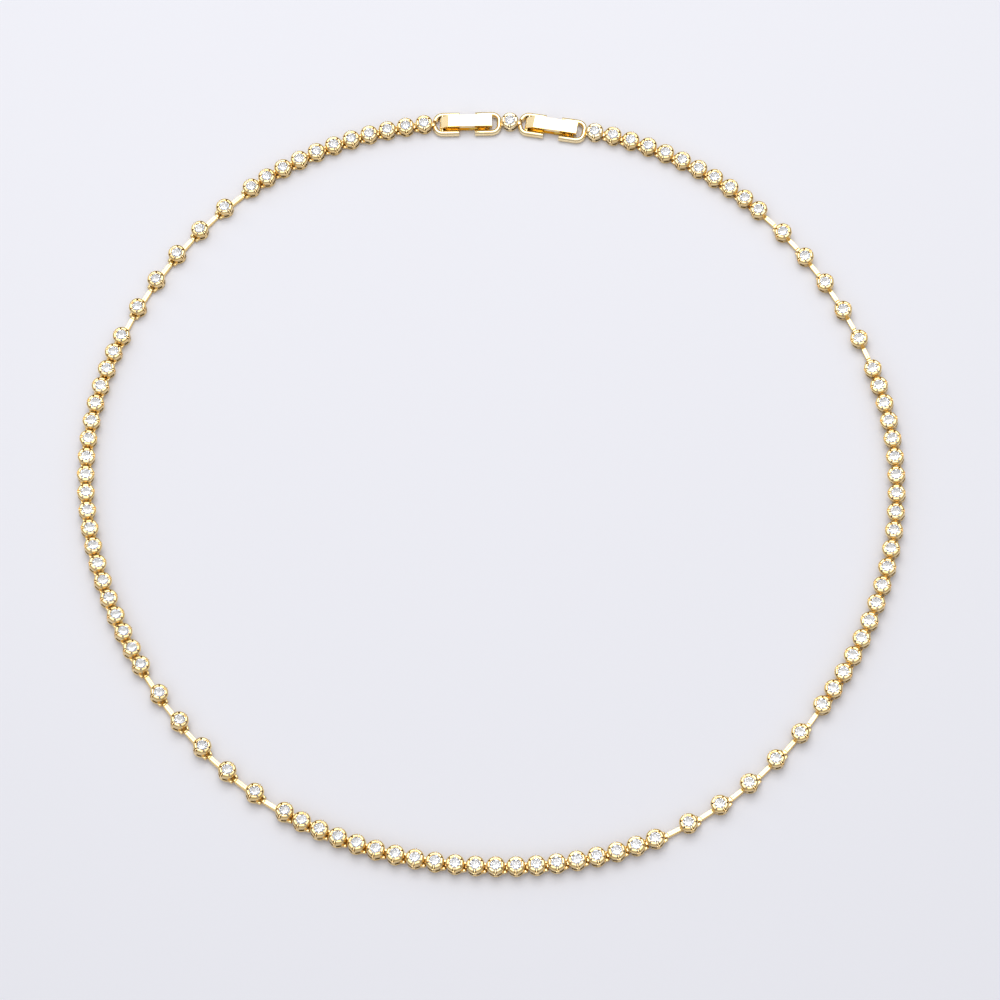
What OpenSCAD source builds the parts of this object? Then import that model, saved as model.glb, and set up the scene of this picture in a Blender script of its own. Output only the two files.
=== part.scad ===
/* [Chain] */
// Length of a plain link from joint to joint, which is also its stone pitch
link_l = 3.2; // [3.15:0.05:3.6]
// Length of a bar link from joint to joint
bar_link_l = 5.8; // [5:0.1:8]
// Plain links between the right clasp and the first bars
right_back_links = 9; // [5:1:15]
// Plain links between the last bars and the left clasp
left_back_links = 11; // [5:1:15]
// Plain links in the close row at each side and at the front
row_links = 19; // [12:1:24]
// Bar links in each of the four open stretches
bar_links_in_run = 6; // [3:1:8]

/* [Loop] */
// Place of the joint before the left clasp, clockwise from the top of the loop
start_shift = -10.2; // [-15:0.1:5]
// Height of the two-crest wave that makes the loop a slanted oval
oval_wave = 1.1; // [0:0.1:3]
// Bearing of one of its crests in degrees
oval_bearing = -31; // [-90:1:90]
// Height of the three-crest wave that makes the loop a little egg-shaped
egg_wave = 0.3; // [0:0.05:1]
// Bearing of one of its crests in degrees
egg_bearing = 36; // [-60:1:60]
// Height of the six-crest wave that comes from the close rows between the bars
row_wave = 0.3; // [0:0.05:0.6]
// Bearing of one of its crests in degrees
row_bearing = -2; // [-30:1:30]

/* [Setting] */
// Width of the six-sided cup across its flats
cup_flats = 2.7; // [2.6:0.05:2.75]
// Diameter of the cup's foot
foot_d = 2.6; // [2.5:0.05:2.65]
// Height of the cup with its claws
cup_h = 2.2; // [2.15:0.05:2.35]
// Diameter of the opening between the tips of the claws
claw_d = 1.86; // [1.7:0.02:1.96]
// Diameter of the light hole under the stone
light_hole_d = 1.2; // [1:0.05:1.3]
// Width of a side window
window_w = 0.86; // [0.6:0.02:0.9]
// Height of a side window
window_h = 0.28; // [0.15:0.01:0.3]
// Height of the foot ring under the windows
foot_h = 0.3; // [0.2:0.02:0.34]
// Width of the sides of the notch in each corner
notch_w = 0.34; // [0.28:0.02:0.38]

/* [Stone] */
// Diameter of the cut stone
stone_d = 2.2; // [2:0.02:2.2]
// Diameter of the stone's table
table_d = 1.26; // [1:0.02:1.4]
// Height of the stone's girdle above the foot of the cup
girdle_z = 1.72; // [1.68:0.01:1.74]
// Thickness of the girdle
girdle_h = 0.05; // [0.03:0.01:0.07]
// Height of the crown above the girdle
crown_h = 0.32; // [0.25:0.01:0.34]
// Depth of the pavilion below the girdle
pavilion_h = 0.92; // [0.8:0.02:0.94]

/* [Joint] */
// Diameter of a link's hinge pin
pin_d = 0.26; // [0.22:0.01:0.28]
// Free play round a pin, and between a stone and its cup
play = 0.15; // [0.13:0.01:0.16]
// Free play at each side of an eye
side_play = 0.16; // [0.14:0.01:0.18]
// Wall of the eye round the hole, and of an ear round the pin
eye_wall = 0.14; // [0.12:0.01:0.15]
// Thickness of the eye
eye_t = 0.6; // [0.5:0.02:0.62]
// Thickness of each ear of the fork
ear_t = 0.3; // [0.25:0.01:0.32]
// Height of the pin above the foot
joint_z = 0.52; // [0.5:0.01:0.56]
// Distance from the middle of a cup to the joint at its fork
fork_reach = 1.6; // [1.58:0.01:1.62]
// Room that a cup leaves for the joint beside it
room = 0.2; // [0.15:0.01:0.22]
// Width of the bar of a bar link
bar_w = 0.7; // [0.64:0.02:0.8]
// Height of the bar of a bar link
bar_h = 0.8; // [0.6:0.02:0.82]

/* [Clasp] */
// Length of the frame over its two rounded ends
frame_l = 11.9; // [11.5:0.1:13]
// Width of the frame
frame_w = 4.3; // [4.2:0.1:4.8]
// Width of the frame's band
band_w = 0.84; // [0.8:0.01:0.86]
// Height of the frame's band
band_h = 1.15; // [1.05:0.05:1.2]
// Radius of the band's bends along its middle
bend_r = 1.3; // [1.1:0.05:1.3]
// Gap between the two halves of the frame, on each side
side_gap = 2.7; // [2:0.1:3.4]
// Width of the cover
cover_w = 2.12; // [2:0.02:2.2]
// Height of the cover's top above the ground
cover_z = 2.15; // [2.1:0.05:2.3]
// Thickness of the cover's metal
cover_t = 0.3; // [0.2:0.02:0.32]

/* [Hidden] */
$fn = 48;
over = 1;
GOLD = [0.92, 0.76, 0.42];
DEEP_GOLD = [0.85, 0.66, 0.3];
CLEAR = [0.93, 0.95, 1];

// Runs of the chain, clockwise from the joint before the left clasp
// Columns: kind of piece, pieces in the run
RUNS = [
    ["clasp", 2],
    ["link", right_back_links],
    ["bar", bar_links_in_run],
    ["link", row_links],
    ["bar", bar_links_in_run],
    ["link", row_links],
    ["bar", bar_links_in_run],
    ["link", row_links],
    ["bar", bar_links_in_run],
    ["link", left_back_links]
];

// How far the cups lean towards the middle of the loop as the chain lies
// Columns: bearing in degrees, lean in degrees
LEANS = [
    [-270, 0],
    [-240, 0],
    [-215, -2],
    [-195, 3],
    [-165, 16],
    [-145, 18],
    [-125, 16],
    [-100, 11],
    [-60, 9],
    [-35, 6],
    [-20, 7],
    [-5, 10],
    [5, 10],
    [50, 1],
    [60, 0],
    [90, 0]
];

// Waves on the loop's radius
// Columns: crests round the loop, height, bearing of a crest in degrees
WAVES = [
    [2, oval_wave, oval_bearing],
    [3, egg_wave, egg_bearing],
    [6, row_wave, row_bearing]
];

// Reaches from the middle of a cup, or from the middle of a clasp
tongue_reach = link_l - fork_reach;
bar_reach = bar_link_l - fork_reach;
clasp_cup_gap = 0.1;
clasp_cup_x = frame_l / 2 + clasp_cup_gap + cup_flats / 2;
clasp_joint_x = clasp_cup_x - fork_reach;
clasp_piece_l = clasp_joint_x + clasp_cup_x + tongue_reach;

// Pieces in their order and where each starts along the chain
kinds = [for (run = RUNS) for (i = [1:run[1]]) run[0]];
count = len(kinds);
function piece_l(kind) = kind == "link" ? link_l : kind == "bar" ? bar_link_l : clasp_piece_l;
starts = [for (i = 0, s = 0; i <= count; s = s + (i < count ? piece_l(kinds[i]) : 0), i = i + 1) s];
chain_l = starts[count];

// A wavy circle, scaled so that its length is that of the chain
mean_r = chain_l / (2 * PI);
function waves_at(b) = [for (w = WAVES) w[1] * cos(w[0] * (b - w[2]))] * [for (w = WAVES) 1];
function rough_point(b) = (mean_r + waves_at(b)) * [cos(b), sin(b)];
function rough_step(k) = norm(rough_point(89 - k) - rough_point(90 - k));
walk = [for (k = 0, s = 0; k <= 360; s = s + rough_step(k), k = k + 1) [s, 90 - k]];
loop_scale = chain_l / walk[360][0];
function wrapped(s) = s - chain_l * floor(s / chain_l);
function bearing_at(s) = lookup(wrapped(s) / loop_scale, walk);
joints = [for (s = starts) loop_scale * rough_point(bearing_at(s + start_shift))];
function mid_range(axis) = let(v = [for (p = joints) p[axis]]) (max(v) + min(v)) / 2;
loop_middle = [mid_range(0), mid_range(1)];

function lean_of(i) =
    kinds[i] == "clasp" ? 0 : lookup(bearing_at((starts[i] + starts[i + 1]) / 2 + start_shift), LEANS);

// Sizes of a joint between two links
pin_r = pin_d / 2;
hole_r = pin_r + play;
eye_r = hole_r + eye_wall;
ear_r = pin_r + eye_wall;
ear_in = eye_t / 2 + side_play;
ear_mid = ear_in + ear_t / 2;
root_x = 0.95;
bar_bevel = 0.12;

// Sizes of the cup and the hollow in it
foot_r = foot_d / 2;
corner_r = cup_flats / 2 / cos(30);
stone_r = stone_d / 2;
table_r = table_d / 2;
claw_r = claw_d / 2;
light_r = light_hole_d / 2;
skirt = 0.05;
shoulder_z = 0.62;
rim_bevel = 0.3;
seam_turn = 27;
pocket_r = stone_r + play;
pavilion_slope = pavilion_h / stone_r;
crown_slope = crown_h / (stone_r - table_r);
crown_z = girdle_z + girdle_h;
function seat_z(r) = girdle_z - play * norm([1, pavilion_slope]) - (stone_r - r) * pavilion_slope;
function claw_z(r) = crown_z + play * norm([1, crown_slope]) + (stone_r - r) * crown_slope;

// Sizes of a clasp
band_r = band_w / 2;
band_lift = 0.05;
eye_top = joint_z + eye_r + room;
ear_top = joint_z + ear_r + room;
bow_top = band_lift + band_h + room;
arm_y = frame_w / 2 - band_r;
end_x = frame_l / 2 - band_r;
bend_x = end_x - bend_r;
slot_y = ear_in + 0.05;
slot_pin_r = 0.12;
hinge_x = -4.25;
hinge_z = 1;
hinge_pin_r = 0.16;
barrel_r = 0.45;
barrel_w = 1.8;
strip_t = 0.25;
strip_w = 1.8;
hook_x = 3.65;
hook_t = 0.2;
hook_z = 0.95;
loop_bar_x = 3.25;
loop_bar_z = 0.6;
loop_bar_r = 0.2;
web_z = 0.4;
web_h = 0.4;
bevel_x = -3.15;
cover_end_x = 4.3;
flange_z = 1.35;
lip_z = 0.75;
tab_x = -1.55;
tab_w = 2.3;
tab_z = 0.85;
step_w = 1.4;
step_z = 0.75;
catch_x = 0.5;
catch_l = 1.2;
catch_r = 0.26;
catch_y = 0.82;
catch_z = 0.8;

// Puts a child whose first joint is at the origin in its place on the loop, leaning as it lies
module in_place(i) {
    from = joints[i] - loop_middle;
    to = joints[i + 1] - loop_middle;
    lean = lean_of(i);
    translate([from[0], from[1], foot_r * abs(sin(lean))])
        rotate([0, 0, atan2(to[1] - from[1], to[0] - from[0])])
            rotate([lean, 0, 0])
                children();
}

// Puts a child drawn round the middle of a clasp in its place
module at_clasp(i) {
    in_place(i)
        translate([clasp_joint_x, 0, 0])
            children();
}

// Plate that stands along the chain, drawn in x and z
module upright(w) {
    rotate([90, 0, 0])
        linear_extrude(height = w, center = true)
            children();
}

// Round bar across the chain
module across(x, z, r, w) {
    translate([x, 0, z])
        rotate([90, 0, 0])
            cylinder(r = r, h = w, center = true);
}

// Cup before its cuts: a six-sided ring with a narrower foot, a seat for the stone and a bevelled rim,
// turned so that the seam of its round faces falls in a notch
module cup_blank() {
    intersection() {
        rotate([0, 0, seam_turn])
            rotate_extrude()
                polygon([
                    [light_r, 0],
                    [foot_r, 0],
                    [corner_r + skirt, shoulder_z],
                    [corner_r + skirt, cup_h - rim_bevel - skirt],
                    [corner_r - rim_bevel, cup_h],
                    [claw_r, claw_z(claw_r)],
                    [pocket_r, claw_z(pocket_r)],
                    [pocket_r, seat_z(pocket_r)],
                    [light_r, seat_z(light_r)]
                ]);
        rotate([0, 0, 30])
            cylinder(r = corner_r, h = cup_h, $fn = 6);
    }
}

// Cup with notches in its corners, windows above its foot, and room up to a height for what hinges beside it
module cup(fork_top, tongue_top) {
    difference() {
        cup_blank();
        for (a = [30, 90, 150])
            rotate([0, 0, a])
                translate([0, 0, cup_h])
                    rotate([45, 0, 0])
                        cube([4 * corner_r, notch_w, notch_w], center = true);
        for (a = [60, 120])
            rotate([0, 0, a])
                translate([0, 0, foot_h + window_h / 2])
                    cube([4 * corner_r, window_w, window_h], center = true);
        if (fork_top > 0)
            translate([eye_r + room - fork_reach - over, -ear_in, -over])
                cube([over, 2 * ear_in, over + fork_top]);
        if (tongue_top > 0)
            translate([tongue_reach - ear_r - room, -cup_flats, -over])
                cube([over, 2 * cup_flats, over + tongue_top]);
    }
}

// Two ears with a pin between them, at the start of a link
module fork() {
    for (side = [-1, 1])
        translate([0, side * ear_mid, 0])
            upright(ear_t) {
                translate([-fork_reach, joint_z])
                    circle(r = ear_r);
                translate([-fork_reach, joint_z - ear_r])
                    square([fork_reach - root_x, 2 * ear_r]);
            }
    across(-fork_reach, joint_z, pin_r, 2 * ear_mid);
}

// Tongue with an eye at its end, which turns on the next link's pin
module tongue(reach) {
    upright(eye_t)
        difference() {
            union() {
                translate([reach, joint_z])
                    circle(r = eye_r);
                translate([root_x, joint_z - eye_r])
                    square([reach - root_x, 2 * eye_r]);
            }
            translate([reach, joint_z])
                circle(r = hole_r);
        }
}

// Bar of a bar link, with bevelled top edges
module bar() {
    top = joint_z + eye_r;
    translate([root_x, 0, 0])
        rotate([90, 0, 90])
            linear_extrude(height = bar_reach - ear_r - room - root_x)
                polygon([
                    [-bar_w / 2, top - bar_h],
                    [bar_w / 2, top - bar_h],
                    [bar_w / 2, top - bar_bevel],
                    [bar_w / 2 - bar_bevel, top],
                    [-bar_w / 2 + bar_bevel, top],
                    [-bar_w / 2, top - bar_bevel]
                ]);
}

module plain_link() {
    cup(eye_top, ear_top);
    fork();
    tongue(tongue_reach);
}

module bar_link() {
    cup(eye_top, 0);
    fork();
    bar();
    tongue(bar_reach);
}

// Corners of a stone: table, upper girdle, lower girdle and tip
function ring_points(r, z, turn) = [for (k = [0:7]) [r * cos(45 * k + turn), r * sin(45 * k + turn), z]];
stone_points = concat(
    ring_points(table_r, crown_z + crown_h, 22.5),
    ring_points(stone_r, crown_z, 0),
    ring_points(stone_r, girdle_z, 0),
    [[0, 0, girdle_z - pavilion_h]]
);
stone_faces = concat(
    [[for (k = [7:-1:0]) k]],
    [for (k = [0:7]) [8 + k, k, 8 + (k + 1) % 8]],
    [for (k = [0:7]) [8 + k, (k + 7) % 8, k]],
    [for (k = [0:7]) [16 + k, 8 + k, 8 + (k + 1) % 8, 16 + (k + 1) % 8]],
    [for (k = [0:7]) [24, 16 + k, 16 + (k + 1) % 8]]
);

// Section of the frame's band, with a round top and bottom
module band_section() {
    for (z = [band_r, band_h - band_r])
        translate([0, band_lift + z])
            circle(r = band_r);
    translate([-band_r, band_lift + band_r])
        square([band_w, band_h - band_w]);
}

// Half of a clasp's frame: a bow of band, round at the left and open to the right
module bow() {
    for (side = [-1, 1]) {
        translate([-bend_x, side * arm_y, 0])
            rotate([90, 0, 90])
                linear_extrude(height = bend_x - side_gap / 2)
                    band_section();
        translate([-bend_x, side * (arm_y - bend_r), 0])
            rotate([0, 0, side > 0 ? 90 : 180])
                rotate_extrude(angle = 90)
                    translate([bend_r, 0])
                        band_section();
    }
    translate([-end_x, 0, 0])
        upright(2 * (arm_y - bend_r))
            band_section();
}

// Left half of a clasp: a slotted bow with its pin, a strip with hook, tab and catch, and the hinge pin
module clasp_body() {
    difference() {
        bow();
        translate([-frame_l / 2 - over, -slot_y, 0])
            cube([over + 2 * band_w, 2 * slot_y, 2 * band_h]);
    }
    across(-clasp_joint_x, joint_z, slot_pin_r, 2 * slot_y + band_r);
    across(hinge_x, hinge_z, hinge_pin_r, 2 * arm_y);
    translate([hinge_x - barrel_r, -arm_y, 0])
        cube([2 * barrel_r, 2 * arm_y, strip_t]);
    translate([hinge_x, -strip_w / 2, 0])
        cube([hook_x + hook_t - hinge_x, strip_w, strip_t]);
    translate([hook_x, -strip_w / 2, 0])
        cube([hook_t, strip_w, hook_z]);
    translate([tab_x, -tab_w / 2, 0])
        cube([hook_t, tab_w, tab_z]);
    translate([tab_x, -step_w / 2, 0])
        cube([catch_x + catch_l - tab_x, step_w, step_z]);
    for (side = [-1, 1])
        translate([catch_x, side * catch_y, catch_z]) {
            rotate([0, 90, 0])
                cylinder(r = catch_r, h = catch_l);
            sphere(r = catch_r);
            translate([catch_l, 0, 0])
                sphere(r = catch_r);
        }
}

// Right half of a clasp with its cross bar, soldered to the setting that follows
module clasp_loop() {
    mirror([1, 0, 0])
        bow();
    across(loop_bar_x, loop_bar_z, loop_bar_r, 2 * arm_y);
    translate([end_x, -ear_in, web_z])
        cube([clasp_cup_x - root_x - end_x, 2 * ear_in, web_h]);
    translate([clasp_cup_x, 0, 0]) {
        cup(0, bow_top);
        tongue(tongue_reach);
    }
}

// Bent plate of the cover: a bevelled end, a flange at each side and a lip over the hook
module cover_plate() {
    difference() {
        upright(cover_w)
            polygon([
                [hinge_x, hinge_z],
                [hinge_x - cover_t, hinge_z + cover_t],
                [bevel_x, cover_z],
                [cover_end_x, cover_z],
                [cover_end_x, lip_z],
                [cover_end_x - hook_t, lip_z],
                [cover_end_x - hook_t, flange_z],
                [hinge_x + barrel_r, flange_z]
            ]);
        upright(cover_w - 2 * hook_t)
            polygon([
                [hinge_x, hinge_z + cover_t],
                [bevel_x + cover_t / 2, cover_z - cover_t],
                [cover_end_x - hook_t, cover_z - cover_t],
                [cover_end_x - hook_t, 0],
                [hinge_x, 0]
            ]);
    }
}

// Hinged cover: the bent plate and the barrel that turns on the hinge pin
module clasp_cover() {
    difference() {
        union() {
            cover_plate();
            across(hinge_x, hinge_z, barrel_r, barrel_w);
        }
        across(hinge_x, hinge_z, hinge_pin_r + play, 2 * cover_w);
    }
}

module plain_links() {
    color(GOLD)
        for (i = [0:count - 1])
            if (kinds[i] == "link")
                in_place(i)
                    translate([fork_reach, 0, 0])
                        plain_link();
}

module bar_links() {
    color(GOLD)
        for (i = [0:count - 1])
            if (kinds[i] == "bar")
                in_place(i)
                    translate([fork_reach, 0, 0])
                        bar_link();
}

module stones() {
    color(CLEAR)
        for (i = [0:count - 1])
            in_place(i)
                translate([kinds[i] == "clasp" ? clasp_joint_x + clasp_cup_x : fork_reach, 0, 0])
                    polyhedron(stone_points, stone_faces);
}

module clasp_left_body() {
    color(DEEP_GOLD)
        at_clasp(0)
            clasp_body();
}

module clasp_left_loop() {
    color(GOLD)
        at_clasp(0)
            clasp_loop();
}

module clasp_left_cover() {
    color(GOLD)
        at_clasp(0)
            clasp_cover();
}

module clasp_right_body() {
    color(DEEP_GOLD)
        at_clasp(1)
            clasp_body();
}

module clasp_right_loop() {
    color(GOLD)
        at_clasp(1)
            clasp_loop();
}

module clasp_right_cover() {
    color(GOLD)
        at_clasp(1)
            clasp_cover();
}

plain_links();
bar_links();
stones();
clasp_left_body();
clasp_left_loop();
clasp_left_cover();
clasp_right_body();
clasp_right_loop();
clasp_right_cover();
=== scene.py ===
"""Looks of a cubic zirconia necklace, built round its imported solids.

Each kind of piece is modelled once, in millimetres and round its own middle, and is then copied to
its places on the loop, in metres. The places and most of the sizes are those of the part's source.
The rolled rims, pits, claws, taller windows, flared ears, bar ends and small facets of the stones
are only here.
"""

import logging
import math
from collections.abc import Callable, Iterator, Sequence
from contextlib import contextmanager
from dataclasses import dataclass, field
from enum import Enum
from typing import ClassVar

import bmesh
import bpy
from mathutils import Matrix, Vector


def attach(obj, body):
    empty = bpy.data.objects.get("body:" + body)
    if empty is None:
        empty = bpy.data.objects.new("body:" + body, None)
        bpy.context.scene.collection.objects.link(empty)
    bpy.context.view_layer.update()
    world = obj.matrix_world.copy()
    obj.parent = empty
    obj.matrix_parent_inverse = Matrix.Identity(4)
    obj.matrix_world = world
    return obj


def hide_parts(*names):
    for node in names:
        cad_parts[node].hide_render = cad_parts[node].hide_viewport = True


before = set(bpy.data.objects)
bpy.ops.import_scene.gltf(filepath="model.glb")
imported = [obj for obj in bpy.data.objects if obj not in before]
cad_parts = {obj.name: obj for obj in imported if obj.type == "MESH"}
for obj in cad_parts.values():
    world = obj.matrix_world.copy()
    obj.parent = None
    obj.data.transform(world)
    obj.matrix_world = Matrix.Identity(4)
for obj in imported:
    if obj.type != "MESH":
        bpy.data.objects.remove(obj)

LOG = logging.getLogger("necklace")
NECKLACE_BODY = "necklace"
MM = 0.001

# Edges that bend by more are rounded and shaded as sharp. The facet of the covers bends by 31.3.
SHARP_ANGLE = math.radians(31)
# Share of a direction that has to lie along an axis for it to count as running along the axis.
ALONG = 0.9
# How far cutters reach past what they cut, outwards and downwards, in millimetres.
FAR = 3.0
BELOW = -1.0
# Bevel at both ends of a pin, in millimetres.
END_BEVEL = 0.05
# Vertices that are nearer to each other are merged, in millimetres.
MERGE_DISTANCE = 0.0005
# Vertices that are nearer to a facet's plane count as on it, in millimetres.
FACET_THRESHOLD = 0.00001

Item = bpy.types.Object
Span = tuple[float, float]
Point = tuple[float, float, float]
Colour = tuple[float, float, float, float]
PickTest = Callable[[Vector, Vector], bool]
Wire = tuple[bpy.types.Node, str, bpy.types.Node, str | int]


def rotation(degrees: float, axis: str) -> Matrix:
    """Gives the matrix of a turn round an axis."""
    return Matrix.Rotation(math.radians(degrees), 4, axis)


def set_inputs(node: bpy.types.Node, values: dict[str, float | Point]) -> None:
    """Writes constants on a node's inputs."""
    for name, value in values.items():
        node.inputs[name].default_value = value


def wire(tree: bpy.types.NodeTree, *wires: Wire) -> None:
    """Links nodes of a tree, each time from a node's output to another node's input."""
    for start, output, end, entry in wires:
        tree.links.new(start.outputs[output], end.inputs[entry])


class Kind(Enum):
    """Kinds of piece that follow one another along the chain."""

    LINK = "link"
    BAR = "bar"
    CLASP = "clasp"


class Slot(Enum):
    """Material slots of the record."""

    GOLD = "gold"
    CLASP_GOLD = "clasp_gold"
    STONE = "stone"


class Bench:
    """Workbench that makes and shapes one blank at a time with Blender's operators."""

    @staticmethod
    def clear() -> None:
        """Deselects every object."""
        bpy.ops.object.select_all(action="DESELECT")

    @staticmethod
    def hold(*objects: Item) -> None:
        """Selects only these objects and makes the first one active.

        Args:
            objects: The objects to select.
        """
        Bench.clear()
        for item in objects:
            item.select_set(True)
        bpy.context.view_layer.objects.active = objects[0]

    @staticmethod
    @contextmanager
    def editing(item: Item) -> Iterator[None]:
        """Opens one object in edit mode with nothing selected, and closes it again.

        Args:
            item: The object to edit.

        Returns:
            The context in which the object is open.
        """
        Bench.hold(item)
        bpy.ops.object.mode_set(mode="EDIT")
        bpy.ops.mesh.select_all(action="DESELECT")
        yield
        bpy.ops.object.mode_set(mode="OBJECT")

    @staticmethod
    def round_blank(sides: int, radius: float, z_span: Span, x: float = 0) -> Item:
        """Adds an upright prism.

        Args:
            sides: Number of its sides.
            radius: Radius over its corners.
            z_span: Its lowest and its highest height.
            x: Place of its middle along the chain.

        Returns:
            The new object.
        """
        Bench.clear()
        low, high = z_span
        bpy.ops.mesh.primitive_cylinder_add(
            vertices=sides, radius=radius, depth=high - low, location=(x, 0, (low + high) / 2)
        )
        bpy.ops.object.transform_apply()
        return bpy.context.object

    @staticmethod
    def box_blank(width: float, x_span: Span, z_span: Span) -> Item:
        """Adds a box that lies evenly to both sides of the chain's middle line.

        Args:
            width: Its width across the chain.
            x_span: Where it starts and ends along the chain.
            z_span: Its lowest and its highest height.

        Returns:
            The new object.
        """
        Bench.clear()
        (start, end), (low, high) = x_span, z_span
        middle = ((start + end) / 2, 0, (low + high) / 2)
        bpy.ops.mesh.primitive_cube_add(size=1, location=middle)
        made = bpy.context.object
        made.scale = (end - start, width, high - low)
        bpy.ops.object.transform_apply()
        return made

    @staticmethod
    def pick(item: Item, kind: str, test: PickTest) -> None:
        """Selects the faces, edges or points that pass a test and no others.

        Args:
            item: The object that is open in edit mode.
            kind: FACE, EDGE or VERT.
            test: Takes the middle of each and its normal, or an edge's direction, and says whether
                it is wanted.
        """
        bpy.ops.mesh.select_mode(type=kind)
        bpy.ops.mesh.select_all(action="DESELECT")
        shape = bmesh.from_edit_mesh(item.data)
        if kind == "FACE":
            for face in shape.faces:
                face.select_set(test(face.calc_center_median(), face.normal))
        elif kind == "EDGE":
            for edge in shape.edges:
                start, end = (point.co for point in edge.verts)
                edge.select_set(test((start + end) / 2, (end - start).normalized()))
        else:
            for point in shape.verts:
                point.select_set(test(point.co, point.normal))
            shape.select_flush_mode()
        bmesh.update_edit_mesh(item.data)

    @staticmethod
    def pull(step: Point, scale: Point = (1, 1, 1), pivot: Point = (0, 0, 0)) -> None:
        """Extrudes the selected faces and resizes the new end.

        Args:
            step: How far the new end is moved.
            scale: How much it is resized along each axis.
            pivot: The point that stays in place in the resizing.
        """
        bpy.ops.mesh.extrude_region_move(TRANSFORM_OT_translate={"value": step})
        if scale != (1, 1, 1):
            bpy.ops.transform.resize(value=scale, center_override=pivot)

    @staticmethod
    def pull_ring(item: Item, z: float, radius: float, roundness: float) -> None:
        """Extrudes the selected level faces to a new height and makes their edge rounder.

        Args:
            item: The object that is open in edit mode.
            z: Height of the new ring.
            radius: Its mean radius.
            roundness: How far it goes from its own outline, at 0, to a circle, at 1.
        """
        Bench.pull((0, 0, z - Bench.picked_points(item)[0].z))
        bpy.ops.transform.tosphere(value=roundness)
        points = Bench.picked_points(item)
        ratio = radius * len(points) / sum(point.xy.length for point in points)
        bpy.ops.transform.resize(value=(ratio, ratio, 1), center_override=(0, 0, z))

    @staticmethod
    def picked_points(item: Item) -> list[Vector]:
        """Gives the places of the selected vertices of the object that is open in edit mode."""
        points = bmesh.from_edit_mesh(item.data).verts
        return [point.co.copy() for point in points if point.select]

    @staticmethod
    def turned(sides: int, profile: Sequence[Span]) -> Item:
        """Makes a round upright solid from its profile, as on a lathe.

        Args:
            sides: Number of its sides.
            profile: Radius and height of each step, from the bottom up.

        Returns:
            The new object.
        """
        (first_r, first_z), (next_r, next_z) = profile[:2]
        made = Bench.round_blank(sides, first_r, (first_z, next_z))
        with Bench.editing(made):
            Bench.pick(made, "FACE", lambda middle, normal: normal.z > ALONG)
            ratio = next_r / first_r
            bpy.ops.transform.resize(value=(ratio, ratio, 1), center_override=(0, 0, next_z))
            for (low_r, low_z), (high_r, high_z) in zip(profile[1:], profile[2:]):
                ratio = high_r / low_r
                Bench.pull((0, 0, high_z - low_z), (ratio, ratio, 1), (0, 0, high_z))
        return made

    @staticmethod
    def across(sides: int, radius: float, width: float, x: float, z: float) -> Item:
        """Makes a round bar that lies across the chain, with a small bevel at both ends.

        Args:
            sides: Number of its sides.
            radius: Its radius.
            width: Its length.
            x: Its place along the chain.
            z: Its height.

        Returns:
            The new object.
        """
        edge, half = min(END_BEVEL, radius / 4), width / 2
        end_r, side_z = radius - edge, half - edge
        profile = [(end_r, -half), (radius, -side_z), (radius, side_z), (end_r, half)]
        made = Bench.turned(sides, profile)
        made.data.transform(Matrix.Translation((x, 0, z)) @ rotation(90, "X"))
        return made

    @staticmethod
    def rounded(item: Item, width: float, segments: int = 2) -> Item:
        """Rounds an object's sharp edges.

        Args:
            item: The object.
            width: Width of the rounding.
            segments: Number of its steps.

        Returns:
            The same object.
        """
        Bench.hold(item)
        bevel = item.modifiers.new("rounding", "BEVEL")
        bevel.width = width
        bevel.segments = segments
        bevel.limit_method = "ANGLE"
        bevel.angle_limit = SHARP_ANGLE
        bpy.ops.object.modifier_apply(modifier=bevel.name)
        return item

    @staticmethod
    def cut(item: Item, *cutters: Item) -> None:
        """Cuts other objects out of one.

        Args:
            item: The object that is kept.
            cutters: The objects that are used up.
        """
        for cutter in cutters:
            Bench.hold(item)
            cutting = item.modifiers.new("cut", "BOOLEAN")
            cutting.operation = "DIFFERENCE"
            cutting.solver = "EXACT"
            cutting.object = cutter
            bpy.ops.object.modifier_apply(modifier=cutting.name)
            bpy.data.objects.remove(cutter)

    @staticmethod
    def joined(parts: Sequence[Item]) -> Item:
        """Joins objects into one mesh.

        Args:
            parts: The objects, of which the first is kept.

        Returns:
            The joined object.
        """
        Bench.hold(*parts)
        if len(parts) > 1:
            bpy.ops.object.join()
        return parts[0]

    @staticmethod
    def cleaned(item: Item) -> Item:
        """Merges an object's doubled vertices and turns its faces outwards.

        Args:
            item: The object.

        Returns:
            The same object.
        """
        with Bench.editing(item):
            bpy.ops.mesh.select_all(action="SELECT")
            bpy.ops.mesh.remove_doubles(threshold=MERGE_DISTANCE)
            bpy.ops.mesh.normals_make_consistent(inside=False)
        return item

    @staticmethod
    def copied(master: Item, places: Sequence[Matrix], name: str) -> Item:
        """Copies a master to its places in metres and joins the copies.

        Args:
            master: The master, modelled in millimetres.
            places: Where each copy goes, in millimetres.
            name: Name of the joined piece.

        Returns:
            The piece, with its place in its mesh.
        """
        copies = []
        for place in places:
            copy = master.copy()
            copy.data = master.data.copy()
            copy.data.transform(Matrix.Scale(MM, 4) @ place)
            bpy.context.collection.objects.link(copy)
            copies.append(copy)
        piece = Bench.joined(copies)
        piece.name = piece.data.name = name
        return piece


@dataclass(frozen=True)
class Run:
    """A stretch of the chain with pieces of one kind."""

    kind: Kind
    count: int
    name: str


@dataclass(frozen=True)
class Place:
    """Where one piece lies: its kind, its run and its pose in millimetres."""

    kind: Kind
    run: str
    pose: Matrix


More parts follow.
